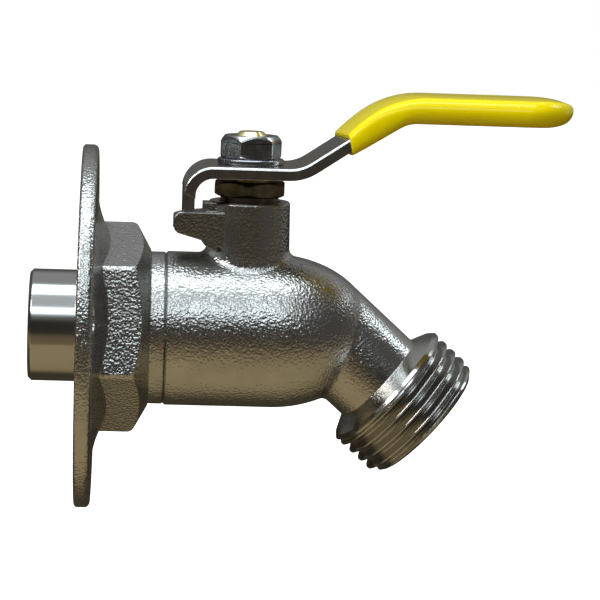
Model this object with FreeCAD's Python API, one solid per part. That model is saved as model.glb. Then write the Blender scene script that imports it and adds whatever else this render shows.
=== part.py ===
import FreeCAD
import Part
import math
import os

# Quarter-turn sillcock: a small ball valve with a wall flange, a stub for a copper tube
# and a hose-threaded spout, opened by a bent steel lever in a vinyl sleeve.
# Lengths are in millimetres. X runs out of the wall along the barrel, Z runs up the stem.
# The origin is where the barrel axis meets the wall face of the flange.
# The lever is drawn in its open place, lying over the spout.

# Reach of a cutting block, more than the part measures from its middle
beyond = 80.0

# Clearances
turning_gap = 0.06        # radial, between a turning face and the seal or bore around it
thread_gap = 0.05         # radial, between the two halves of a screwed joint
sleeve_gap = 0.04         # between the vinyl sleeve and the steel lever inside it
flat_gap = 0.03           # between the flats of the stem and the slot in the lever

# Inlet side: stub, flange, wrench hexagon
tube_d = 15.88            # outside diameter of the copper tube that is soldered in
socket_gap = 0.05         # radial solder gap round the tube
socket_depth = 12.7
stub_r = 10.34
stub_length = 9.1
flange_r = 33.5
flange_t = 2.9
flange_round = 1.0
screw_hole_r = 2.6
screw_circle_r = 25.2
screw_holes = 2
hex_across_flats = 34.0
hex_turn = -11.0          # the hexagon sits a little off square to the stem
hex_start = 4.4
hex_end = 10.3
hex_bevel_round = 1.5
cove_r = 19.7             # the hollow that runs from the flange up to the hexagon
cove_round = 16.8
cove_end_r = 15.0
ring_start = 13.0
ring_r = 14.1
adapter_thread_r = 11.7
adapter_back = 6.36       # from the middle of the ball back to the end of the adapter

# Barrel, neck and spout
barrel_r = 14.26
seam_x = 15.8
stem_x = 30.76
dome_start = stem_x + 4.84
dome_length = 19.1
neck_top = 24.1
neck_top_r = 7.55
neck_foot_r = 7.85
spout_corner_x = stem_x + 15.51
spout_angle = 41.6        # below the horizontal
spout_r = 9.47
waterway_r = 6.4

# Hose end
hose_thread_d = 26.99     # over the crests of a garden hose thread
hose_thread_depth = 1.43
shoulder_start = 12.6     # measured along the spout from the corner
collar_start = 14.3
spout_end = 24.8
mouth_r = 9.3

# Ball and seats
ball_r = 9.5
port_r = 6.2
seat_outer_r = 8.9
seat_inner_r = 6.4
seat_front = 5.2          # from the middle of the ball to the front of a seat
seat_back = 8.6
chamber_r = 10.9

# Stem and its seals
stem_r = 3.65
stem_collar_r = 5.0
stem_collar_low = 9.9
stem_collar_high = 12.44
tang_t = 3.0
tang_low = 7.1
slot_gap = 0.1
washer_t = 0.8
packing_r = 5.35
packing_t = 2.2
packing_depth = 8.1       # from the top of the neck down to the web under the packing
web_top = neck_top - packing_depth
gland_thread_r = 5.85
gland_thread_top = neck_top - 0.9
gland_hex_low = neck_top + 0.9
gland_hex_t = 2.9
gland_hex_high = gland_hex_low + gland_hex_t
gland_across_flats = 12.8
gland_turn = -3.5
stem_flat_r = 3.5
stem_flats = 5.0
stud_r = 2.97

# Lever, sleeve, washer and nut
plate_t = 2.2
plate_low = gland_hex_high + 0.85
plate_w = 19.0
plate_edge_round = 0.6
tab_w = 9.0
tab_x = stem_x - 12.36    # outer face of the stop tab
tab_drop = 7.0            # from the underside of the plate down to the end of the tab
tab_low = plate_low - tab_drop
tab_slant = 28.0          # the shoulders of the tab are cut at a slant
down_bend_r = 4.3
rise_angle = 34.0
rise_x = stem_x + 9.11
low_bend_r = 8.2
grip_rise = 12.25         # from the middle of the plate up to the middle of the grip bar
grip_mid_z = plate_low + plate_t / 2 + grip_rise
high_bend_r = 5.9
lever_reach = 57.84       # from the stem to the far end of the steel
lever_end = stem_x + lever_reach
vinyl_t = 1.3
vinyl_thinning = 1.8      # how far the faces of the sleeve are drawn in towards its mouth
vinyl_swell = 0.5         # and out again at the top of the rise
sleeve_bend_r = 18.0      # over the top of the high bend
nose_length = 6.5         # the tip of the sleeve tapers over this length
nose_taper = 9.0
sleeve_x = stem_x + 17.34  # where the near side of the sleeve mouth lies
sleeve_round = 1.55
mouth_lean = 15.0         # the mouth of the sleeve leans back, and is cut a little askew
mouth_skew = 4.0
lever_washer_r = 6.14
lever_washer_t = 1.0
nut_across_flats = 10.1
nut_h = 4.25
nut_turn = 10.0
stem_past_nut = 0.7
stem_top = plate_low + plate_t + lever_washer_t + nut_h + stem_past_nut

# Stop ledge on the neck
ledge_r = 13.95
ledge_top = neck_top - 1.9
ledge_step = 0.9          # from the top of the ledge down to the floor that the tab sweeps over
ledge_floor = ledge_top - ledge_step
ledge_rim_low = ledge_top - 3.85
ledge_root_low = ledge_top - 5.7
rib_t = 1.4
rib_r = 13.75             # from the stem to the outer face of the rib
wall_t = 2.2              # the stop wall at the far end
tab_clear = 1.1           # between the inner face of the tab and the neck side of its pocket
buttress_r = 8.65         # from the stem to the far face of the block behind the rib
stop_play = 0.08          # between the tab and each stop


def vec(x, y, z):
    """A point or direction."""
    return FreeCAD.Vector(x, y, z)


def rod(x0, x1, r):
    """Cylinder along X."""
    return Part.makeCylinder(r, x1 - x0, vec(x0, 0, 0), vec(1, 0, 0))


def post(z0, z1, r, x=stem_x):
    """Upright cylinder on the stem axis."""
    return Part.makeCylinder(r, z1 - z0, vec(x, 0, z0), vec(0, 0, 1))


def box(x0, x1, y0, y1, z0, z1):
    """Box between two corners."""
    return Part.makeBox(x1 - x0, y1 - y0, z1 - z0, vec(x0, y0, z0))


def turned(points, about, axis):
    """Solid of revolution from a closed outline."""
    face = Part.Face(Part.makePolygon(points + [points[0]]))
    return face.revolve(about, axis, 360)


def turned_x(pairs):
    """Solid of revolution about the barrel axis from (x, r) pairs."""
    return turned([vec(x, 0, r) for x, r in pairs], vec(0, 0, 0), vec(1, 0, 0))


def turned_z(pairs, x=stem_x):
    """Solid of revolution about the stem axis from (r, z) pairs."""
    return turned([vec(x + r, 0, z) for r, z in pairs], vec(x, 0, 0), vec(0, 0, 1))


def hexagon(across_flats, low, high, turn, x=stem_x):
    """Upright hexagonal prism with both ends chamfered to a circle."""
    corner_r = across_flats / math.sqrt(3)
    points = []
    for k in range(7):
        a = math.radians(turn + 60 * k)
        points.append(vec(x + corner_r * math.cos(a), corner_r * math.sin(a), low))
    prism = Part.Face(Part.makePolygon(points)).extrude(vec(0, 0, high - low))
    cut = corner_r - across_flats / 2 * 0.93
    drop = cut * math.tan(math.radians(30))
    cap = turned_z([(0, low), (corner_r - cut, low), (corner_r, low + drop),
                    (corner_r, high - drop), (corner_r - cut, high), (0, high)], x)
    return prism.common(cap)


def rounded_path(points, radii):
    """Edges of an open path with an arc at each inner corner that has a radius."""
    edges = []
    here = points[0]
    for i in range(1, len(points) - 1):
        if radii[i - 1] == 0:
            edges.append(Part.makeLine(here, points[i]))
            here = points[i]
            continue
        before = (points[i - 1] - points[i]).normalize()
        after = (points[i + 1] - points[i]).normalize()
        half = before.getAngle(after) / 2
        run = radii[i - 1] / math.tan(half)
        start = points[i] + before * run
        end = points[i] + after * run
        middle = (before + after).normalize()
        centre = points[i] + middle * (radii[i - 1] / math.sin(half))
        top = centre - middle * radii[i - 1]
        edges.append(Part.makeLine(here, start))
        edges.append(Part.Arc(start, top, end).toShape())
        here = end
    edges.append(Part.makeLine(here, points[-1]))
    return edges


def turned_section(corners):
    """Solid of revolution about the barrel axis from (x, r, corner radius) triples."""
    points = [vec(x, 0, r) for x, r, _ in corners]
    edges = rounded_path(points, [radius for _, _, radius in corners[1:-1]])
    edges.append(Part.makeLine(points[-1], points[0]))
    return Part.Face(Part.Wire(edges)).revolve(vec(0, 0, 0), vec(1, 0, 0), 360)


def offset_corners(points, distance):
    """Corner points of the same path moved sideways, to the left of its direction."""
    moved = []
    count = len(points)
    for i in range(count):
        sides = []
        for a, b in ((i - 1, i), (i, i + 1)):
            if a >= 0 and b < count:
                d = (points[b] - points[a]).normalize()
                sides.append(vec(-d.z, 0, d.x))
        if len(sides) == 1:
            moved.append(points[i] + sides[0] * distance)
        else:
            both = (sides[0] + sides[1]).normalize()
            moved.append(points[i] + both * (distance / both.dot(sides[0])))
    return moved


def side_line(points, radii, turns, offset):
    """The path moved sideways by the offset, its corner arcs kept concentric."""
    moved = offset_corners(points, offset)
    return rounded_path(moved, [r - t * offset for r, t in zip(radii, turns)])


def bent_strip(upper, lower, width):
    """Bent bar between an upper and a lower side line, drawn out to the width."""
    first = Part.makeLine(lower[0].Vertexes[0].Point, upper[0].Vertexes[0].Point)
    last = Part.makeLine(upper[-1].Vertexes[-1].Point, lower[-1].Vertexes[-1].Point)
    face = Part.Face(Part.Wire(Part.__sortEdges__(upper + [last] + lower + [first])))
    face.translate(vec(0, -width / 2, 0))
    return face.extrude(vec(0, width, 0))


def tongue(x0, x1, width):
    """Tall flat prism with a half-round far end, used to trim a bar to its plan shape."""
    h = width / 2
    near = vec(x1 - h, -h, 0)
    far = vec(x1 - h, h, 0)
    edges = [Part.makeLine(far, vec(x0, h, 0)),
             Part.makeLine(vec(x0, h, 0), vec(x0, -h, 0)),
             Part.makeLine(vec(x0, -h, 0), near),
             Part.Arc(near, vec(x1, 0, 0), far).toShape()]
    return Part.Face(Part.Wire(edges)).extrude(vec(0, 0, beyond))


def round_edges(shape, radius, wanted):
    """Round the edges that the test picks out."""
    return shape.makeFillet(radius, [e for e in shape.Edges if wanted(e)])


def save(name, shape):
    """Write one node as STEP."""
    if shape.ShapeType == "Compound" and len(shape.Solids) == 1:
        shape = shape.Solids[0]
    shape.exportStep("parts/" + name + ".step")
    box_ = shape.BoundBox
    print(name, shape.isValid(), len(shape.Solids), round(shape.Volume, 1),
          [round(v, 2) for v in (box_.XMin, box_.XMax, box_.YMin, box_.YMax, box_.ZMin, box_.ZMax)])


def along_spout(shape):
    """Place a shape drawn along Z so that it runs down the spout from the corner."""
    tilt = FreeCAD.Rotation(vec(0, 1, 0), 90 + spout_angle)
    shape.Placement = FreeCAD.Placement(vec(spout_corner_x, 0, 0), tilt)
    return shape


def hose_end():
    """Shoulder, collar and the blank of the hose thread along Z, as wide as the crests."""
    crest_r = hose_thread_d / 2
    root_r = crest_r - hose_thread_depth
    return turned_z([(0, 0), (spout_r, 0), (spout_r, shoulder_start),
                     (crest_r - 0.6, collar_start), (crest_r, collar_start + 0.6),
                     (crest_r, spout_end - 1.2), (root_r, spout_end), (0, spout_end)], 0)


def barrel_and_dome():
    """Barrel closed by a half ellipsoid, turned from one outline drawn on the far side."""
    end_x = dome_start + dome_length
    outline = [vec(seam_x, 0, 0), vec(seam_x, barrel_r - 0.3, 0), vec(seam_x + 0.3, barrel_r, 0),
               vec(dome_start, barrel_r, 0)]
    ellipse = Part.Ellipse(vec(end_x, 0, 0), vec(dome_start, barrel_r, 0), vec(dome_start, 0, 0))
    edges = [Part.makeLine(a, b) for a, b in zip(outline, outline[1:])]
    edges.append(Part.ArcOfEllipse(ellipse, 0, math.pi / 2).toShape())
    edges.append(Part.makeLine(vec(end_x, 0, 0), outline[0]))
    return Part.Face(Part.Wire(Part.__sortEdges__(edges))).revolve(vec(0, 0, 0), vec(1, 0, 0), 360)


def make_valve_body():
    """Barrel, domed end, spout, stem neck and stop ledge in one casting."""
    body = barrel_and_dome()
    end_x = dome_start + dome_length
    spout = along_spout(post(-2, shoulder_start, spout_r, 0))
    body = body.fuse(spout).removeSplitter()

    def inner_corner(e):
        """The crease between the dome and the spout."""
        b = e.BoundBox
        return b.XMin > dome_start + 5 and b.XMax < end_x and b.ZMax > 4 and b.ZMin < -9

    body = round_edges(body, 1.6, inner_corner)

    neck = turned_z([(0, 6), (neck_foot_r, 6), (neck_top_r, neck_top - 0.3),
                     (neck_top_r - 0.3, neck_top), (0, neck_top)])
    body = body.fuse(neck).removeSplitter()

    def neck_root(e):
        """The ring where the neck meets the barrel."""
        b = e.BoundBox
        near_neck = b.XMin > stem_x - neck_foot_r - 1 and b.XMax < stem_x + neck_foot_r + 1
        return near_neck and b.ZMin > 9 and b.ZMax < barrel_r + 0.5 and b.YMax - b.YMin > 3

    body = round_edges(body, 1.6, neck_root)

    body = body.fuse(stop_ledge()).removeSplitter()
    body = body.fuse(along_spout(hose_end()))

    overlap = waterway_r * math.tan(math.radians(spout_angle / 2))
    cavity = [rod(seam_x - 1, stem_x - seat_front + 0.2, adapter_thread_r + thread_gap),
              rod(seam_x, stem_x + seat_front, chamber_r),
              rod(stem_x, stem_x + seat_back, seat_outer_r),
              rod(stem_x, spout_corner_x + overlap, waterway_r),
              along_spout(turned_z([(0, -overlap), (waterway_r, -overlap), (waterway_r, shoulder_start),
                                    (mouth_r, shoulder_start + 3), (mouth_r, spout_end - 0.6),
                                    (mouth_r + 0.6, spout_end), (mouth_r + 0.6, spout_end + 1),
                                    (0, spout_end + 1)], 0)),
              post(0, stem_collar_high + turning_gap + washer_t, stem_collar_r + 0.35),
              post(0, web_top + 1, stem_r + turning_gap),
              post(web_top, web_top + 2 * packing_t, packing_r),
              post(web_top + 2 * packing_t - 0.01, neck_top + 1, gland_thread_r + thread_gap)]
    for hollow in cavity:
        body = body.cut(hollow)
    return body


def stop_ledge():
    """Quarter ring on the neck with a stop rib at one end and a stop wall at the other."""
    inner = neck_top_r - 1.5
    outline = [(inner, ledge_root_low - 1.5), (neck_foot_r + 0.3, ledge_root_low - 0.5),
               (neck_foot_r + 0.75, ledge_root_low), (neck_foot_r + 1.2, ledge_root_low + 0.65),
               (ledge_r - 0.6, ledge_rim_low), (ledge_r, ledge_rim_low + 0.6),
               (ledge_r, ledge_top - 0.9), (ledge_r - 0.7, ledge_top), (inner, ledge_top)]
    reach = tab_w / 2 + stop_play
    rib_side = -reach
    wall_side = stem_x + reach
    points = [vec(stem_x - r, rib_side - rib_t, z) for r, z in outline]
    corner = Part.Face(Part.makePolygon(points + [points[0]])).extrude(vec(0, rib_t - rib_side, 0))
    corner.translate(vec(ledge_r - rib_r, 0, 0))
    out = ledge_r + 5
    low = ledge_root_low - 5
    high = neck_top + 5
    keep_near = box(stem_x - out, stem_x - 2, rib_side - rib_t, 2, low, high)
    keep_far = box(stem_x - out, wall_side + wall_t, 0, out, low, high)
    ring = turned_z(outline).common(keep_near.fuse(keep_far)).fuse(corner)
    tab_in = stem_x - tab_x - plate_t
    inside = post(ledge_floor, high, tab_in - tab_clear)
    pocket_ring = post(ledge_floor, high, out + 1).cut(inside)
    pocket = pocket_ring.common(box(stem_x - out, wall_side, rib_side, out, low, high))
    buttress = box(stem_x - buttress_r, stem_x - inner, rib_side + 0.3, 0.5,
                   ledge_floor - 1, neck_top - 0.2)
    return ring.cut(pocket).fuse(buttress)


def make_inlet_adapter():
    """Stub, wall flange, wrench hexagon and the screwed end that closes the barrel."""
    cove_end = hex_start + 2.6
    flange = turned_section([(-stub_length, 0, 0), (-stub_length, stub_r - 0.6, 0),
                             (-stub_length + 0.6, stub_r, 0), (-0.5, stub_r, 0), (0, stub_r + 0.5, 0),
                             (0, flange_r - 0.4, 0), (0.4, flange_r, 0),
                             (flange_t, flange_r, flange_round), (flange_t, cove_r, cove_round),
                             (cove_end, cove_end_r, 0), (cove_end, 0, 0)])
    corner_r = hex_across_flats / math.sqrt(3)
    points = []
    for k in range(7):
        a = math.radians(hex_turn + 60 * k)
        points.append(vec(flange_t - 0.5, -corner_r * math.sin(a), corner_r * math.cos(a)))
    prism = Part.Face(Part.makePolygon(points)).extrude(vec(ring_start + 2, 0, 0))
    cap = turned_section([(flange_t - 0.5, 0, 0), (flange_t - 0.5, corner_r - 0.2, 0),
                          (hex_end - 0.1, corner_r - 0.2, hex_bevel_round), (ring_start, ring_r + 0.3, 0),
                          (ring_start + 0.5, 0, 0)])
    ring = turned_x([(hex_start, 0), (hex_start, ring_r), (seam_x - 0.3, ring_r), (seam_x, ring_r - 0.3),
                     (seam_x, 0)])
    thread = rod(seam_x - 1, stem_x - adapter_back, adapter_thread_r)
    solid = flange.fuse([prism.common(cap), ring, thread])
    solid = solid.cut(rod(-stub_length - 1, socket_depth - stub_length, tube_d / 2 + socket_gap))
    solid = solid.cut(rod(0, stem_x, waterway_r))
    solid = solid.cut(rod(stem_x - seat_back, stem_x, seat_outer_r))
    for k in range(screw_holes):
        a = math.radians(hex_turn + 90 + 360 * k / screw_holes)
        hole = Part.makeCylinder(screw_hole_r, 10, vec(-2, -screw_circle_r * math.sin(a),
                                                       screw_circle_r * math.cos(a)), vec(1, 0, 0))
        solid = solid.cut(hole)
    return solid


def make_seat(side):
    """Ring that seals on the ball; side is -1 at the inlet and 1 at the outlet."""
    a = stem_x + side * seat_front
    b = stem_x + side * seat_back
    ring = rod(min(a, b), max(a, b), seat_outer_r)
    ring = ring.cut(rod(min(a, b) - 1, max(a, b) + 1, seat_inner_r))
    return ring.cut(Part.makeSphere(ball_r + turning_gap, vec(stem_x, 0, 0)))


def make_ball():
    """Ball with its port along the barrel and the stem slot across the top."""
    ball = Part.makeSphere(ball_r, vec(stem_x, 0, 0), vec(1, 0, 0))
    ball = ball.cut(rod(stem_x - 12, stem_x + 12, port_r))
    half = tang_t / 2 + slot_gap
    return ball.cut(box(stem_x - half, stem_x + half, -12, 12, tang_low - slot_gap, 12))


def make_stem():
    """Tang, retaining collar, shaft, flats for the lever and the stud for the nut."""
    half = tang_t / 2
    tang = post(tang_low, stem_collar_low + 0.1, stem_r)
    tang = tang.common(box(stem_x - half, stem_x + half, -5, 5, tang_low - 1, stem_collar_low + 1))
    collar = post(stem_collar_low, stem_collar_high, stem_collar_r)
    shaft = post(stem_collar_high - 0.1, plate_low, stem_r)
    key = post(plate_low - 0.1, plate_low + plate_t - 0.15, stem_flat_r)
    flat = stem_flats / 2
    key = key.common(box(stem_x - 5, stem_x + 5, -flat, flat, plate_low - 1, plate_low + 5))
    stud = turned_z([(0, plate_low), (flat, plate_low), (flat, plate_low + plate_t - 0.2),
                     (stud_r, plate_low + plate_t - 0.15), (stud_r, stem_top - 0.8),
                     (stud_r - 0.8, stem_top), (0, stem_top)])
    return tang.fuse([collar, shaft, key, stud])


def make_thrust_washer():
    """Ring between the stem collar and the roof of its recess."""
    low = stem_collar_high + turning_gap
    return post(low, low + washer_t, stem_collar_r + 0.2).cut(post(low - 1, low + 2, stem_r + turning_gap))


def make_packing(index):
    """One of the two packing rings round the stem."""
    low = web_top + index * packing_t
    return post(low, low + packing_t, packing_r).cut(post(low - 1, low + 5, stem_r + turning_gap))


def make_packing_nut():
    """Hollow screw that squeezes the packing."""
    low = web_top + 2 * packing_t
    screw = turned_z([(0, low), (gland_thread_r - 0.4, low), (gland_thread_r, low + 0.4),
                      (gland_thread_r, gland_thread_top - 0.4), (packing_r, gland_thread_top),
                      (packing_r, gland_hex_low + 0.1), (0, gland_hex_low + 0.1)])
    head = hexagon(gland_across_flats, gland_hex_low, gland_hex_high, gland_turn - 90)
    return screw.fuse(head).cut(post(low - 1, gland_hex_high + 1, stem_r + turning_gap))


def lever_path(end_x):
    """Corners, bend radii and bend directions of the lever's middle line."""
    mid = plate_low + plate_t / 2
    top_x = rise_x + (grip_mid_z - mid) / math.tan(math.radians(rise_angle))
    points = [vec(tab_x + plate_t / 2, 0, tab_low), vec(tab_x + plate_t / 2, 0, mid),
              vec(rise_x, 0, mid), vec(top_x, 0, grip_mid_z), vec(end_x, 0, grip_mid_z)]
    return points, [down_bend_r, low_bend_r, high_bend_r], [-1, 1, -1]


def lever_bar(grow, end_x):
    """The bent bar of the lever, or the same bar grown outwards by a little."""
    points, radii, turns = lever_path(end_x)
    half = plate_t / 2 + grow
    strip = bent_strip(side_line(points, radii, turns, half), side_line(points, radii, turns, -half),
                       plate_w + 2 * grow)
    return strip.common(tongue(tab_x - 10, end_x, plate_w + 2 * grow))


def sleeve_bar():
    """The bar grown by the vinyl: drawn in at the foot of the rise and rounder over the bend."""
    end_x = lever_end + vinyl_t
    points, radii, turns = lever_path(end_x)
    half = plate_t / 2 + vinyl_t
    over = list(points)
    over[2] = points[2] + vec(vinyl_thinning, 0, 0)
    over[3] = points[3] - vec(vinyl_swell, 0, 0)
    under = list(points)
    under[2] = points[2] - vec(vinyl_thinning, 0, 0)
    upper = side_line(over, [radii[0], radii[1], sleeve_bend_r - half], turns, half)
    strip = bent_strip(upper, side_line(under, radii, turns, -half), plate_w + 2 * vinyl_t)
    return strip.common(tongue(tab_x - 10, end_x, plate_w + 2 * vinyl_t))


def make_lever():
    """Steel lever: stop tab turned down behind the stem, flat seat, rise and grip bar."""
    bar = lever_bar(0, lever_end)
    points, radii, turns = lever_path(lever_end)
    top_line = Part.Wire(side_line(points, radii, turns, plate_t / 2))

    def pressed_edge(e):
        """The two long edges of the upper face, rounded by the press."""
        at = e.valueAt((e.FirstParameter + e.LastParameter) / 2)
        if abs(abs(at.y) - plate_w / 2) > 0.01:
            return False
        return Part.Vertex(vec(at.x, 0, at.z)).distToShape(top_line)[0] < 0.01

    bar = round_edges(bar, plate_edge_round, pressed_edge)
    bend_end = vec(tab_x + plate_t / 2, 0, plate_low + plate_t / 2 - down_bend_r)
    side = tab_w / 2
    for left, right in ((side, plate_w), (-plate_w, -side)):
        waste = box(-5, 5, left, right, -tab_drop - 1, 0)
        waste.rotate(vec(0, 0, 0), vec(0, 1, 0), tab_slant)
        waste.translate(bend_end)
        bar = bar.cut(waste)
    slot = post(plate_low - 1, plate_low + plate_t + 1, stem_flat_r + flat_gap)
    half = stem_flats / 2 + flat_gap
    slot = slot.common(box(stem_x - 5, stem_x + 5, -half, half, plate_low - 2, plate_low + 5))
    return bar.cut(slot)


def nose_waste(side):
    """What is taken off the tip of the sleeve, above or below, to taper it."""
    waste = box(0, beyond, -beyond, beyond, 0, beyond)
    waste.rotate(vec(0, 0, 0), vec(0, 1, 0), nose_taper)
    if side < 0:
        waste.rotate(vec(0, 0, 0), vec(1, 0, 0), 180)
    waste.translate(vec(lever_end + vinyl_t - nose_length, 0, grip_mid_z + side * (plate_t / 2 + vinyl_t)))
    return waste


def make_grip():
    """Dipped vinyl sleeve over the far half of the lever."""
    outer = sleeve_bar()
    outer = outer.cut(box(tab_x - 5, sleeve_x - 4, -beyond, beyond, -beyond, beyond))

    def long_edge(e):
        """The edges along both sides and round the tip."""
        b = e.BoundBox
        m = e.CenterOfMass
        along_side = abs(abs(m.y) - plate_w / 2 - vinyl_t) < 0.01 and b.YMax - b.YMin < 0.01
        round_tip = b.XMax > lever_end - 2 and abs(m.z - grip_mid_z) > 1
        return (along_side and b.XMax - b.XMin > 0.3) or round_tip

    outer = round_edges(outer, sleeve_round, long_edge)
    outer = outer.cut(nose_waste(1)).cut(nose_waste(-1))
    mouth = box(-beyond, 0, -beyond, beyond, -beyond, beyond)
    mouth.rotate(vec(0, 0, 0), vec(0, 1, 0), -mouth_lean)
    mouth.rotate(vec(0, 0, 0), vec(0, 0, 1), mouth_skew)
    mouth.translate(vec(sleeve_x, 0, plate_low + plate_t + 5))
    hollow = lever_bar(sleeve_gap, lever_end + sleeve_gap)
    return outer.cut(mouth).cut(hollow)


def make_lever_washer():
    """Plain washer under the lever nut."""
    low = plate_low + plate_t
    ring = turned_z([(0, low), (lever_washer_r - 0.15, low), (lever_washer_r, low + 0.15),
                     (lever_washer_r, low + lever_washer_t - 0.2),
                     (lever_washer_r - 0.2, low + lever_washer_t), (0, low + lever_washer_t)])
    return ring.cut(post(low - 1, low + 3, stud_r + 0.25))


def make_lever_nut():
    """Hexagon nut that holds the lever down."""
    low = plate_low + plate_t + lever_washer_t
    nut = hexagon(nut_across_flats, low, low + nut_h, nut_turn)
    return nut.cut(post(low - 1, low + nut_h + 1, stud_r + thread_gap))


def main():
    """Build every node."""
    os.makedirs("parts", exist_ok=True)
    save("valve_body", make_valve_body())
    save("inlet_adapter", make_inlet_adapter())
    save("seat_inlet", make_seat(-1))
    save("seat_outlet", make_seat(1))
    save("ball", make_ball())
    save("stem", make_stem())
    save("thrust_washer", make_thrust_washer())
    save("packing_lower", make_packing(0))
    save("packing_upper", make_packing(1))
    save("packing_nut", make_packing_nut())
    save("lever", make_lever())
    save("grip", make_grip())
    save("lever_washer", make_lever_washer())
    save("lever_nut", make_lever_nut())


main()
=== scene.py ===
import math

import bmesh
import bpy
from mathutils import Matrix, Vector


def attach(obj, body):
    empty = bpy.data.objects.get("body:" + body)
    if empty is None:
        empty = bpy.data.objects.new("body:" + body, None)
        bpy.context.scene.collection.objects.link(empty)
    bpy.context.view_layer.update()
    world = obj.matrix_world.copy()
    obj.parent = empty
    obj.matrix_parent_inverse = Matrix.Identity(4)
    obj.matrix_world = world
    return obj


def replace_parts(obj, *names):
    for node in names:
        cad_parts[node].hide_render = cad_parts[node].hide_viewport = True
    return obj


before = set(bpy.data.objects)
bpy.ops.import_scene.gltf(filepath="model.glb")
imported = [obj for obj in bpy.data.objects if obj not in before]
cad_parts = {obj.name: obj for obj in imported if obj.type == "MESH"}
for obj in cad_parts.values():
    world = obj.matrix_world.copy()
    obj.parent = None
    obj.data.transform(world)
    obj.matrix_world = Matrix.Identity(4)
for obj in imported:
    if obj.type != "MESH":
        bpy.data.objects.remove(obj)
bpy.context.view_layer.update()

MM = 0.001
WHITE = (1.0, 1.0, 1.0, 1.0)

# Places on the valve, in millimetres, in the valve's own frame
STEM_X = 30.76
SPOUT_X = 46.27
SPOUT_ANGLE = math.radians(41.6)
SPOUT_CORNER = Vector((SPOUT_X * MM, 0.0, 0.0))
SPOUT_AHEAD = Vector((math.cos(SPOUT_ANGLE), 0.0, -math.sin(SPOUT_ANGLE)))

# Sleeve, in millimetres
GRIP_MID_Z = 42.1
GRIP_HALF_T = 2.4
GRIP_HALF_W = 10.8
GRIP_END = 89.9
NOSE_START = 83.3
NOSE_LIFT = 0.6
NOSE_FULLNESS = 2.3
NOSE_STEPS = 16
TIP_START = 80.0
TIP_FULLNESS = 2.2
SLEEVE_STEP = 0.75
HALF_RING_STEPS = 14

# Hollow of the sleeve, in millimetres
HOLLOW_HALF_T = 1.2
HOLLOW_HALF_W = GRIP_HALF_W - 1.15
HOLLOW_END = GRIP_END - 1.2
HOLLOW_EDGE_R = 0.12
HOLLOW_NOSE_STEPS = 10

# Bends of the sleeve's skin and hollow: place of the corner, slope before it and radius of its round
SKIN_TOP_BEND = (56.25, math.radians(37.4), 18.0)
SKIN_LOW_BEND = (58.71, math.radians(31.54), 6.0)
HOLLOW_TOP_BEND = (57.66, math.radians(34.0), 7.1)
HOLLOW_LOW_BEND = (58.40, math.radians(34.0), 4.7)

# Mouth of the sleeve, in millimetres, with its lean and skew as slopes
MOUTH_X = 47.55
MOUTH_Z = 35.95
MOUTH_LEAN = math.tan(math.radians(15.0))
MOUTH_SKEW = math.tan(math.radians(4.0))
MOUTH_FADE = 6.0
LIP_R = 0.25
LIP_DRAW = 0.6
LIP_RUN = 4.0
LIP_LOW_SHARE = 0.1
LIP_SIDE_SHARE = 0.5
LIP_STEPS = (0.0, 0.01, 0.04, 0.09, 0.16, 0.25, 0.45)
BOXY_SHARE = 0.32
BOXY_END = 61.0
BOXY_RUN = 8.0
EDGE_SHARE = 0.8
LEAN_ROUNDS = 5

# Lever nut, in millimetres
NUT_LOW = 31.95
NUT_TOP = 36.2
NUT_HALF_FLATS = 5.05
NUT_CORNER_R = 5.83
NUT_FACE_R = 4.86
NUT_LOW_FACE_R = NUT_FACE_R + 0.35
NUT_HOLE_R = 3.05
NUT_HOLE_BEVEL = 0.3
NUT_TURN = 10.0
NUT_TOP_BEVEL = math.tan(math.radians(46.0))
NUT_LOW_BEVEL = math.tan(math.radians(32.0))
NUT_SOFTNESS = 0.10
NUT_LIFT = 0.01
NUT_LOW_STEPS = (NUT_LIFT, 0.08, 0.16, 0.26, 0.4, 0.7, 1.2, 2.2, 3.0)
NUT_BEVEL_RUN = 1.4
NUT_BEVEL_STEP = 0.1
NUT_AROUND = 180
NUT_ANGLES = [2 * math.pi * i / NUT_AROUND for i in range(NUT_AROUND)]

# Hose thread, in millimetres, measured along the spout from its corner
THREAD_START = 14.9
THREAD_BEVEL = 23.6
THREAD_END = 24.8
THREAD_PITCH = 25.4 / 11.5
THREAD_DEPTH = 1.43
THREAD_CREST_R = 13.495
THREAD_ROOT_R = THREAD_CREST_R - THREAD_DEPTH
THREAD_PHASE = 0.07
THREAD_FADE = 0.9
THREAD_AROUND = 180
BLANK_RADIUS_MARGIN = 0.02
BLANK_END_MARGIN = 0.05

# View, in degrees, millimetres and pixels
VIEW_AZIMUTH, VIEW_ELEVATION, VIEW_ROLL = (math.radians(a) for a in (3.784, 7.822, 2.077))
VIEW_TARGET = Vector((40.763, 0.0, 5.856)) * MM
VIEW_DISTANCE = 480.0
PICTURE_WIDTH = 600.0
PIXELS_PER_MM = 5.39
SENSOR_WIDTH = 36.0


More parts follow.
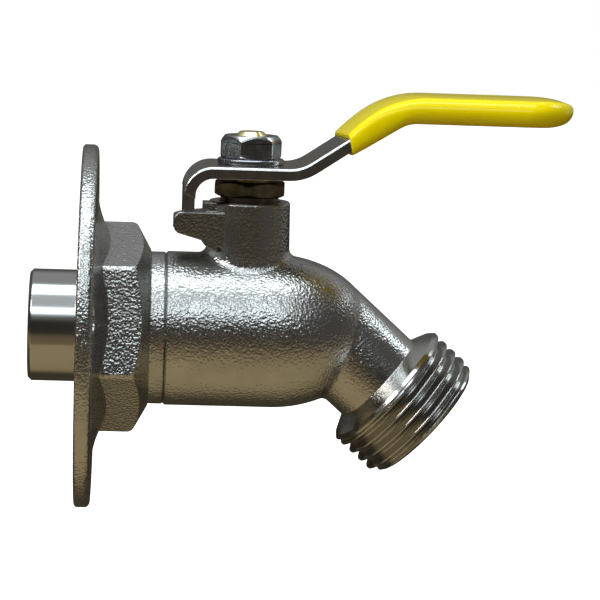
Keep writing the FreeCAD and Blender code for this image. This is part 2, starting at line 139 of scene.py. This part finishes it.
class Nodes:
    """Short hand for building one material's or the world's nodes."""

    def __init__(self, tree):
        self.tree = tree
        tree.nodes.clear()

    def add(self, kind, **values):
        node = self.tree.nodes.new(kind)
        for key, value in values.items():
            setattr(node, key, value)
        return node

    def link(self, source, target):
        self.tree.links.new(source, target)

    def value(self, target, source):
        if hasattr(source, "is_output"):
            self.link(source, target)
        else:
            target.default_value = source

    def coordinates(self, kind):
        return self.add("ShaderNodeTexCoord").outputs[kind]

    def split(self, vector):
        node = self.add("ShaderNodeSeparateXYZ")
        self.link(vector, node.inputs[0])
        return tuple(node.outputs)

    def math(self, operation, a, b=0.0):
        node = self.add("ShaderNodeMath", operation=operation)
        self.value(node.inputs[0], a)
        self.value(node.inputs[1], b)
        return node.outputs[0]

    def ranged(self, value, low, high, to_low=0.0, to_high=1.0, kind="SMOOTHSTEP"):
        node = self.add("ShaderNodeMapRange", interpolation_type=kind)
        self.value(node.inputs["Value"], value)
        limits = (("From Min", low), ("From Max", high), ("To Min", to_low), ("To Max", to_high))
        for name, number in limits:
            self.value(node.inputs[name], number)
        return node.outputs["Result"]

    def mix(self, factor, a, b):
        node = self.add("ShaderNodeMix", data_type="RGBA")
        self.value(node.inputs[0], factor)
        self.value(node.inputs[6], a if hasattr(a, "is_output") else (*a, 1.0))
        self.value(node.inputs[7], b if hasattr(b, "is_output") else (*b, 1.0))
        return node.outputs[2]

    def blend(self, factor, a, b):
        node = self.add("ShaderNodeMix", data_type="FLOAT")
        self.value(node.inputs[0], factor)
        self.value(node.inputs[2], a)
        self.value(node.inputs[3], b)
        return node.outputs[0]

    def noise(self, vector, scale, detail=2.0, roughness=0.5):
        node = self.add("ShaderNodeTexNoise")
        self.link(vector, node.inputs["Vector"])
        node.inputs["Scale"].default_value = scale
        node.inputs["Detail"].default_value = detail
        node.inputs["Roughness"].default_value = roughness
        return node.outputs["Fac"]

    def soft_edges(self, radius):
        node = self.add("ShaderNodeBevel", samples=6)
        node.inputs["Radius"].default_value = radius
        return node.outputs["Normal"]

    def bump(self, height, distance, strength=1.0, normal=None):
        node = self.add("ShaderNodeBump")
        node.inputs["Distance"].default_value = distance
        self.value(node.inputs["Strength"], strength)
        self.link(height, node.inputs["Height"])
        if normal is not None:
            self.link(normal, node.inputs["Normal"])
        return node.outputs["Normal"]

    def principled(self, color, roughness, normal=None, metallic=0.0):
        shader = self.add("ShaderNodeBsdfPrincipled")
        shader.inputs["Metallic"].default_value = metallic
        self.link(color, shader.inputs["Base Color"])
        self.value(shader.inputs["Roughness"], roughness)
        if normal is not None:
            self.link(normal, shader.inputs["Normal"])
        return shader

    def camera_switch(self, unseen, seen):
        """The second shader for camera rays, the first one for all others."""
        path = self.add("ShaderNodeLightPath")
        mix = self.add("ShaderNodeMixShader")
        self.link(path.outputs["Is Camera Ray"], mix.inputs[0])
        self.link(unseen.outputs[0], mix.inputs[1])
        self.link(seen.outputs[0], mix.inputs[2])
        return mix

    def finish(self, kind, shader):
        self.link(shader.outputs[0], self.add(kind).inputs["Surface"])


def new_material(name):
    material = bpy.data.materials.new(name)
    material.use_nodes = True
    return material, Nodes(material.node_tree)


def cast_nickel(name, machined, relief, softer):
    """Nickel plating over a sand casting, smooth where machined is 1, its grain scaled by softer."""
    material, n = new_material(name)
    coord = n.coordinates("Object")
    x, y, z = n.split(coord)
    smooth_part = machined(n, x, y, z)
    grain_part = n.math("MULTIPLY", n.math("SUBTRACT", 1.0, smooth_part), softer(n, x, y, z))
    fine_grain = n.noise(coord, 2300.0, 1.0, 0.4)
    wide_grain = n.noise(coord, 1200.0, 1.0, 0.4)
    patches = n.ranged(n.noise(coord, 180.0, 3.0, 0.55), 0.35, 0.65)
    height = n.math("ADD", n.math("MULTIPLY", fine_grain, 0.75), n.math("MULTIPLY", wide_grain, 0.25))
    normal = n.bump(height, relief, grain_part, n.soft_edges(0.35 * MM))
    cast_color = n.mix(patches, (0.45, 0.445, 0.425), (0.50, 0.495, 0.475))
    color = n.mix(smooth_part, cast_color, (0.47, 0.465, 0.445))
    roughness = n.blend(smooth_part, n.blend(patches, 0.25, 0.20), 0.14)
    n.finish("ShaderNodeOutputMaterial", n.principled(color, roughness, normal, metallic=1.0))
    return material


def body_machined(n, x, y, z):
    """Turned collar and thread, faced neck top."""
    ahead = n.math("MULTIPLY", n.math("SUBTRACT", x, SPOUT_X * MM), math.cos(SPOUT_ANGLE))
    along = n.math("ADD", ahead, n.math("MULTIPLY", z, -math.sin(SPOUT_ANGLE)))
    thread = n.ranged(along, 13.2 * MM, 14.4 * MM)
    neck_top = n.ranged(z, 23.7 * MM, 23.9 * MM)
    return n.math("MAXIMUM", thread, neck_top)


def body_grain(n, x, y, z):
    """Full grain on the barrel, less on the spout and the neck."""
    spout = n.ranged(x, 50.0 * MM, 60.0 * MM, 1.0, 0.38)
    neck = n.ranged(z, 13.5 * MM, 16.0 * MM, 1.0, 0.6)
    return n.math("MULTIPLY", spout, neck)


def adapter_machined(n, x, y, z):
    """Turned stub behind the flange."""
    return n.ranged(x, 0.0, -0.8 * MM)


def adapter_grain(n, x, y, z):
    """Full grain on the hexagon and the flange, a little less towards the seam."""
    return n.ranged(x, 19.0 * MM, 21.0 * MM, 1.0, 0.75)


def plain_metal(name, dark, light, rough_low, rough_high):
    """Plated or bare metal with faint cloudiness and handling marks."""
    material, n = new_material(name)
    coord = n.coordinates("Object")
    cloud = n.ranged(n.noise(coord, 400.0, 3.0, 0.55), 0.35, 0.65)
    marks = n.bump(n.noise(coord, 2600.0, 3.0, 0.6), 0.006 * MM, 1.0, n.soft_edges(0.15 * MM))
    color = n.mix(cloud, dark, light)
    roughness = n.blend(cloud, rough_low, rough_high)
    n.finish("ShaderNodeOutputMaterial", n.principled(color, roughness, marks, metallic=1.0))
    return material


def vinyl(name):
    """Glossy dipped vinyl with a faint orange-peel skin."""
    material, n = new_material(name)
    coord = n.coordinates("Object")
    cloud = n.ranged(n.noise(coord, 90.0), 0.3, 0.7)
    color = n.mix(cloud, (0.95, 0.73, 0.0005), (0.98, 0.79, 0.001))
    shader = n.principled(color, 0.10, n.bump(n.noise(coord, 350.0), 0.1 * MM, 0.25))
    shader.inputs["Specular IOR Level"].default_value = 0.24
    n.finish("ShaderNodeOutputMaterial", shader)
    return material


def seal_plastic(name):
    """White low-friction plastic."""
    material, n = new_material(name)
    cloud = n.noise(n.coordinates("Object"), 300.0)
    color = n.mix(cloud, (0.78, 0.78, 0.75), (0.86, 0.86, 0.84))
    n.finish("ShaderNodeOutputMaterial", n.principled(color, 0.45))
    return material


def dress(node, material):
    """Give a CAD node its material."""
    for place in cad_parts[node].material_slots:
        place.material = material


def clamp(value):
    """The value, held between 0 and 1."""
    return min(1.0, max(0.0, value))


def spout_along(point):
    """Distances of a point along the spout from its corner and from the spout's axis, in millimetres."""
    run = (point - SPOUT_CORNER).dot(SPOUT_AHEAD)
    return run / MM, (point - SPOUT_CORNER - SPOUT_AHEAD * run).length / MM


def body_without_blank():
    """The casting without the smooth band that stands for the thread, its shading kept as it was."""
    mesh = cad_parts["valve_body"].data.copy()
    places = [spout_along(v.co) for v in mesh.vertices]
    blank = []
    for face in mesh.polygons:
        runs = [places[i][0] for i in face.vertices]
        radii = [places[i][1] for i in face.vertices]
        on_skin = min(radii) > THREAD_ROOT_R - BLANK_RADIUS_MARGIN
        from_start = min(runs) > THREAD_START - BLANK_END_MARGIN
        if on_skin and from_start and min(runs) < THREAD_END - BLANK_END_MARGIN:
            blank.append(face.index)
    kept = set(range(len(mesh.polygons))) - set(blank)
    normals = [tuple(mesh.corner_normals[i].vector)
               for face in mesh.polygons if face.index in kept for i in face.loop_indices]
    work = bmesh.new()
    work.from_mesh(mesh)
    work.faces.ensure_lookup_table()
    bmesh.ops.delete(work, geom=[work.faces[i] for i in blank], context="FACES")
    work.to_mesh(mesh)
    work.free()
    mesh.normals_split_custom_set(normals)
    return mesh


def finished_mesh(name, verts, faces, sharp_angle):
    """Mesh with its normals turned outwards and shaded smooth up to an angle."""
    mesh = bpy.data.meshes.new(name)
    mesh.from_pydata(verts, [], faces)
    work = bmesh.new()
    work.from_mesh(mesh)
    bmesh.ops.remove_doubles(work, verts=work.verts, dist=1e-6)
    bmesh.ops.recalc_face_normals(work, faces=work.faces)
    work.to_mesh(mesh)
    work.free()
    mesh.shade_smooth()
    mesh.set_sharp_from_angle(angle=math.radians(sharp_angle))
    return mesh


def thread_mesh():
    """Helical skin of the hose thread, its rows laid along the crests, ending in the chamfer."""
    # Places across one turn of the thread, and how deep the skin lies there, as shares of pitch and depth
    profile = ((-0.063, 0.0), (0.063, 0.0), (0.25, 0.5), (0.39, 0.88), (0.45, 1.0), (0.55, 1.0),
               (0.61, 0.88), (0.75, 0.5))
    turns = int((THREAD_END - THREAD_START) / THREAD_PITCH) + 3
    rows = turns * len(profile)
    side = SPOUT_AHEAD.orthogonal().normalized()
    other = SPOUT_AHEAD.cross(side)
    verts, faces = [], []
    for j in range(THREAD_AROUND + 1):
        angle = 2 * math.pi * j / THREAD_AROUND
        out = side * math.cos(angle) + other * math.sin(angle)
        for k in range(rows):
            turn, step = divmod(k, len(profile))
            share, depth = profile[step]
            run = THREAD_START + THREAD_PITCH * (turn - 1 + share + j / THREAD_AROUND) + THREAD_PHASE
            fade = clamp((run - THREAD_START) / THREAD_FADE)
            r = THREAD_CREST_R - THREAD_DEPTH * depth * fade
            run = min(max(run, THREAD_START), THREAD_END)
            bevel = THREAD_CREST_R - (run - THREAD_BEVEL) * THREAD_DEPTH / (THREAD_END - THREAD_BEVEL)
            r = min(r, bevel)
            if run == THREAD_START:
                r = THREAD_CREST_R
            if run == THREAD_END:
                r = THREAD_ROOT_R
            verts.append(SPOUT_CORNER + (SPOUT_AHEAD * run + out * r) * MM)
    for j in range(THREAD_AROUND):
        for k in range(rows - 1):
            a = j * rows + k
            faces.append((a, a + 1, a + rows + 1, a + rows))
    return finished_mesh("hose_thread", verts, faces, sharp_angle=24)


def bend_height(x, level, bend):
    """Height of a line that rises up to a rounded corner and runs level from there."""
    corner_x, slope, radius = bend
    end = corner_x + radius * math.tan(slope / 2)
    start = end - radius * math.sin(slope)
    if x >= end:
        return level
    if x <= start:
        return level - (corner_x - x) * math.tan(slope)
    return level - radius + math.sqrt(radius ** 2 - (end - x) ** 2)


def rounded_share(x, start, end, fullness):
    """Falls from 1 at the start to 0 at the end, along a full round."""
    u = clamp((x - start) / (end - start))
    return (1.0 - u ** fullness) ** (1.0 / fullness)


def grip_skin(x):
    """Top, underside and half width of the sleeve at a place along it."""
    top = bend_height(x, GRIP_MID_Z + GRIP_HALF_T, SKIN_TOP_BEND)
    low = bend_height(x, GRIP_MID_Z - GRIP_HALF_T, SKIN_LOW_BEND)
    nose = rounded_share(x, NOSE_START, GRIP_END, NOSE_FULLNESS)
    mid = (top + low) / 2 + NOSE_LIFT * (1.0 - nose)
    half = (top - low) / 2
    half_w = GRIP_HALF_W * rounded_share(x, TIP_START, GRIP_END, TIP_FULLNESS)
    return mid + half * nose, mid - half * nose, half_w


def grip_hollow(x):
    """Top, underside and half width of the sleeve's hollow, which holds the steel."""
    top = bend_height(x, GRIP_MID_Z + HOLLOW_HALF_T, HOLLOW_TOP_BEND)
    low = bend_height(x, GRIP_MID_Z - HOLLOW_HALF_T, HOLLOW_LOW_BEND)
    half_w = HOLLOW_HALF_W * rounded_share(x, TIP_START, HOLLOW_END, TIP_FULLNESS)
    return top, low, half_w


def mouth_inset(place):
    """How much the sleeve's skin draws in towards its mouth, with the round of the edge itself."""
    run = place - MOUTH_X
    into_edge = max(0.0, LIP_R - run)
    edge_round = LIP_R - math.sqrt(LIP_R ** 2 - into_edge ** 2)
    return LIP_DRAW * max(0.0, 1.0 - run / LIP_RUN) ** 2 + edge_round


def signed_power(value, exponent):
    """A power that keeps the sign."""
    return math.copysign(abs(value) ** exponent, value)


def sleeve_rings(shape, places, edge_r, outside):
    """Closed rings of points round the sleeve, one for each place, the first one in its slanting mouth."""
    rings = []
    for place in places:
        near_mouth = clamp(1.0 - (place - places[0]) / MOUTH_FADE)
        inset = 0.0
        roundness = 1.0
        if outside:
            inset = mouth_inset(place)
            roundness = 1.0 - BOXY_SHARE * clamp((BOXY_END - place) / BOXY_RUN)
        ring = []
        for end in (1, -1):
            for i in range(HALF_RING_STEPS + 1):
                turn = math.pi / 2 - math.pi * i / HALF_RING_STEPS
                across = signed_power(math.cos(turn), roundness)
                upward = signed_power(math.sin(turn), roundness)
                x = place
                # The mouth leans, so the place depends on the height found there
                for _ in range(LEAN_ROUNDS):
                    top, low, half_w = shape(x)
                    top -= inset
                    low += LIP_LOW_SHARE * inset
                    half_w -= LIP_SIDE_SHARE * inset
                    round_w = min(edge_r, half_w * EDGE_SHARE)
                    y = end * (half_w - round_w + round_w * across)
                    z = (top + low) / 2 + end * (top - low) / 2 * upward
                    x = place - near_mouth * (MOUTH_LEAN * (z - MOUTH_Z) + MOUTH_SKEW * y)
                ring.append(Vector((x, y, z)) * MM)
        rings.append(ring)
    return rings


def skin_faces(rings):
    """Faces between rings of equal length."""
    count = len(rings[0])
    faces = []
    for j in range(len(rings) - 1):
        for i in range(count):
            a = j * count + i
            b = j * count + (i + 1) % count
            faces.append((a, b, b + count, a + count))
    return faces


def nose_places(end, steps):
    """Places along the sleeve's nose, closer to each other towards its end."""
    return [end - (end - NOSE_START) * (1 - math.sin(math.pi / 2 * i / steps)) for i in range(steps + 1)]


def grip_mesh():
    """Dipped sleeve with a thin lip, round edges and a round tip, hollow for the steel."""
    straight = [MOUTH_X + SLEEVE_STEP * i for i in range(int((NOSE_START - MOUTH_X) / SLEEVE_STEP))]
    lip = [MOUTH_X + run for run in LIP_STEPS]
    skin_places = lip + straight[1:] + nose_places(GRIP_END, NOSE_STEPS)
    hollow_places = straight + nose_places(HOLLOW_END, HOLLOW_NOSE_STEPS)
    outer = sleeve_rings(grip_skin, skin_places, GRIP_HALF_T, outside=True)
    inner = sleeve_rings(grip_hollow, hollow_places, HOLLOW_EDGE_R, outside=False)
    rings = list(reversed(inner)) + outer
    verts = [point for ring in rings for point in ring]
    faces = skin_faces(rings)
    # The hollow's last ring is closed by strips across it
    count = len(inner[0])
    for i in range(count // 2 - 1):
        faces.append((i, i + 1, count - 2 - i, count - 1 - i))
    return finished_mesh("grip_sleeve", verts, faces, sharp_angle=42)


def nut_radius(angle, z):
    """Distance of the nut's skin from its axis: flats, rounded corners and the bevel at both ends."""
    from_flat = (math.degrees(angle) - NUT_TURN) % 60.0 - 30.0
    flat = NUT_HALF_FLATS / math.cos(math.radians(from_flat))
    top_bevel = NUT_FACE_R + (NUT_TOP - z) / NUT_TOP_BEVEL
    low_bevel = NUT_LOW_FACE_R + (z - NUT_LOW) / NUT_LOW_BEVEL
    limits = (flat, NUT_CORNER_R, top_bevel, low_bevel)
    return -NUT_SOFTNESS * math.log(sum(math.exp(-r / NUT_SOFTNESS) for r in limits))


def nut_ring(z, radii):
    """Ring of points round the stem's axis, one for each angle."""
    return [Vector((STEM_X + r * math.cos(a), r * math.sin(a), z)) * MM for a, r in zip(NUT_ANGLES, radii)]


def nut_mesh():
    """Hexagon nut whose corners and bevel catch the light."""
    heights = [NUT_LOW + step for step in NUT_LOW_STEPS]
    bevel_rows = round(NUT_BEVEL_RUN / NUT_BEVEL_STEP) + 1
    heights += [NUT_TOP - NUT_BEVEL_RUN + NUT_BEVEL_STEP * i for i in range(bevel_rows)]
    rings = [nut_ring(z, [nut_radius(a, z) for a in NUT_ANGLES]) for z in heights]
    hole = ((NUT_HOLE_R + NUT_HOLE_BEVEL, NUT_TOP), (NUT_HOLE_R, NUT_TOP - NUT_HOLE_BEVEL),
            (NUT_HOLE_R, NUT_LOW + NUT_LIFT))
    rings += [nut_ring(z, [r] * len(NUT_ANGLES)) for r, z in hole]
    rings.append(rings[0])
    verts = [point for ring in rings for point in ring]
    return finished_mesh("hexagon_nut", verts, skin_faces(rings), sharp_angle=50)


def add_piece(name, mesh, body, material):
    """Put a new piece on its body."""
    piece = bpy.data.objects.new(name, mesh)
    bpy.context.scene.collection.objects.link(piece)
    mesh.materials.clear()
    mesh.materials.append(material)
    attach(piece, body)
    return piece


def area_lamp(name, place, aim, size, watts, color):
    """Rectangular lamp that looks at a point."""
    lamp = bpy.data.lights.new(name, "AREA")
    lamp.shape = "RECTANGLE"
    lamp.size, lamp.size_y = size
    lamp.energy = watts
    lamp.color = color
    holder = bpy.data.objects.new(name, lamp)
    bpy.context.scene.collection.objects.link(holder)
    holder.location = place
    holder.rotation_euler = (Vector(aim) - Vector(place)).to_track_quat("-Z", "Y").to_euler()


def make_world():
    """White to the camera. For the light, a plain room: bright ahead and above, dim behind and below."""
    world = bpy.data.worlds.new("studio")
    bpy.context.scene.world = world
    world.use_nodes = True
    n = Nodes(world.node_tree)
    x, y, z = n.split(n.coordinates("Generated"))
    height = n.math("ARCSINE", z)
    # Colours of the room ahead, from straight below to straight above, in degrees
    stops = ((-90, (0.10, 0.085, 0.05)), (-45, (0.27, 0.21, 0.12)), (-30, (0.23, 0.18, 0.105)),
             (-15, (0.18, 0.14, 0.085)), (-9, (0.05, 0.043, 0.035)), (14, (0.035, 0.033, 0.03)),
             (26, (0.22, 0.22, 0.22)), (50, (0.34, 0.35, 0.36)), (90, (0.34, 0.35, 0.36)))
    ramp = n.add("ShaderNodeValToRGB")
    n.link(n.ranged(height, math.radians(-90), math.radians(90), kind="LINEAR"), ramp.inputs[0])
    bar = ramp.color_ramp
    while len(bar.elements) < len(stops):
        bar.elements.new(0.5)
    for element, (angle, color) in zip(bar.elements, stops):
        element.position = (angle + 90) / 180
        element.color = (*color, 1.0)
    behind = n.ranged(y, -0.05, 0.35)
    above = n.ranged(height, math.radians(18), math.radians(45))
    right = n.ranged(x, 0.25, 0.55)
    behind_low = n.mix(right, (0.11, 0.107, 0.10), (0.28, 0.275, 0.265))
    behind_room = n.mix(above, behind_low, (0.42, 0.43, 0.44))
    beside = n.ranged(x, 0.35, 0.65)
    room = n.mix(beside, ramp.outputs["Color"], (0.09, 0.085, 0.08))
    light = n.add("ShaderNodeBackground")
    n.link(n.mix(behind, room, behind_room), light.inputs["Color"])
    white = n.add("ShaderNodeBackground")
    white.inputs["Color"].default_value = WHITE
    n.finish("ShaderNodeOutputWorld", n.camera_switch(light, white))


def make_floor():
    """Plain floor, well below the valve, which hangs from its wall."""
    near, far, half_width, level = -0.34, 4.0, 2.5, -0.22
    corners = [(-half_width, near, 0), (half_width, near, 0), (half_width, far, 0), (-half_width, far, 0)]
    mesh = bpy.data.meshes.new("floor")
    mesh.from_pydata(corners, [], [(0, 1, 2, 3)])
    floor = bpy.data.objects.new("floor", mesh)
    bpy.context.scene.collection.objects.link(floor)
    floor.location.z = level
    material, n = new_material("floor")
    coord = n.coordinates("Object")
    from_front = n.split(coord)[1]
    warm = n.add("ShaderNodeBsdfDiffuse")
    warm_color = n.mix(n.ranged(from_front, 0.0, 0.09), (0.40, 0.30, 0.165), (0.07, 0.054, 0.034))
    n.link(warm_color, warm.inputs["Color"])
    pale = n.add("ShaderNodeBsdfDiffuse")
    pale.inputs["Color"].default_value = (0.9, 0.9, 0.9, 1.0)
    white = n.add("ShaderNodeEmission")
    white.inputs["Color"].default_value = WHITE
    away = n.add("ShaderNodeVectorMath", operation="LENGTH")
    n.link(coord, away.inputs[0])
    n.link(n.ranged(away.outputs["Value"], 0.35, 1.0, 0.72, 1.0), white.inputs["Strength"])
    shown = n.add("ShaderNodeAddShader")
    n.link(pale.outputs[0], shown.inputs[0])
    n.link(white.outputs[0], shown.inputs[1])
    n.finish("ShaderNodeOutputMaterial", n.camera_switch(warm, shown))
    mesh.materials.append(material)


def make_camera():
    """Camera at the photograph's viewpoint, with its slight roll."""
    ahead = Vector((math.sin(VIEW_AZIMUTH) * math.cos(VIEW_ELEVATION),
                    math.cos(VIEW_AZIMUTH) * math.cos(VIEW_ELEVATION), -math.sin(VIEW_ELEVATION)))
    right = Vector((math.cos(VIEW_AZIMUTH), -math.sin(VIEW_AZIMUTH), 0.0))
    up = right.cross(ahead)
    side = right * math.cos(VIEW_ROLL) + up * math.sin(VIEW_ROLL)
    top = up * math.cos(VIEW_ROLL) - right * math.sin(VIEW_ROLL)
    data = bpy.data.cameras.new("camera")
    data.sensor_width = SENSOR_WIDTH
    data.lens = PIXELS_PER_MM * VIEW_DISTANCE / PICTURE_WIDTH * SENSOR_WIDTH
    data.clip_start = 0.01
    camera = bpy.data.objects.new("camera", data)
    bpy.context.scene.collection.objects.link(camera)
    basis = Matrix((side, top, -ahead)).transposed().to_4x4()
    camera.matrix_world = Matrix.Translation(VIEW_TARGET - ahead * VIEW_DISTANCE * MM) @ basis
    bpy.context.scene.camera = camera


make_camera()
make_world()
make_floor()

# Lamps, their places, aims and sizes in metres
aim = (0.04, 0.0, 0.0)
below_strip = (-0.16, 0.0, 0.0)
cool = (0.82, 0.93, 1.0)
neutral = (1.0, 0.99, 0.97)
area_lamp("key", (-0.16, -0.62, 0.95), aim, (1.1, 1.25), 2.05, cool)
area_lamp("top_strip", (-0.16, -0.08, 1.06), below_strip, (1.1, 0.44), 6.8, cool)
area_lamp("front_strip", (-0.16, -0.83, 0.65), aim, (1.1, 0.25), 2.4, cool)
area_lamp("side", (-0.90, -0.42, 0.66), aim, (0.5, 0.5), 7.0, neutral)
area_lamp("right_back", (0.82, 0.22, 0.83), aim, (0.36, 0.36), 2.2, cool)

body_skin = cast_nickel("cast_nickel_body", body_machined, 0.18 * MM, body_grain)
dress("valve_body", body_skin)
threaded = add_piece("valve_body_threaded", body_without_blank(), "casting", body_skin)
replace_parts(threaded, "valve_body")
add_piece("hose_thread", thread_mesh(), "casting", body_skin)
dress("inlet_adapter", cast_nickel("cast_nickel_adapter", adapter_machined, 0.21 * MM, adapter_grain))
dress("packing_nut", plain_metal("dark_brass", (0.16, 0.13, 0.09), (0.26, 0.22, 0.16), 0.28, 0.4))
dress("lever", plain_metal("plated_steel", (0.58, 0.56, 0.53), (0.64, 0.62, 0.59), 0.12, 0.18))
dress("lever_washer", plain_metal("zinc_washer", (0.22, 0.23, 0.245), (0.27, 0.28, 0.30), 0.20, 0.28))
zinc = plain_metal("zinc_nut", (0.36, 0.37, 0.39), (0.41, 0.42, 0.44), 0.18, 0.24)
dress("lever_nut", zinc)
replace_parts(add_piece("lever_nut_beveled", nut_mesh(), "handle", zinc), "lever_nut")
dress("stem", plain_metal("turned_brass", (0.74, 0.62, 0.30), (0.86, 0.76, 0.42), 0.18, 0.3))
dress("ball", plain_metal("bright_ball", (0.7, 0.7, 0.7), (0.8, 0.8, 0.8), 0.06, 0.12))
sleeve_skin = vinyl("yellow_vinyl_skin")
dress("grip", sleeve_skin)
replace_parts(add_piece("grip_sleeve", grip_mesh(), "handle", sleeve_skin), "grip")
for seal in ("seat_inlet", "seat_outlet", "thrust_washer", "packing_lower", "packing_upper"):
    dress(seal, seal_plastic(seal + "_plastic"))

bpy.context.scene.view_settings.view_transform = "Standard"
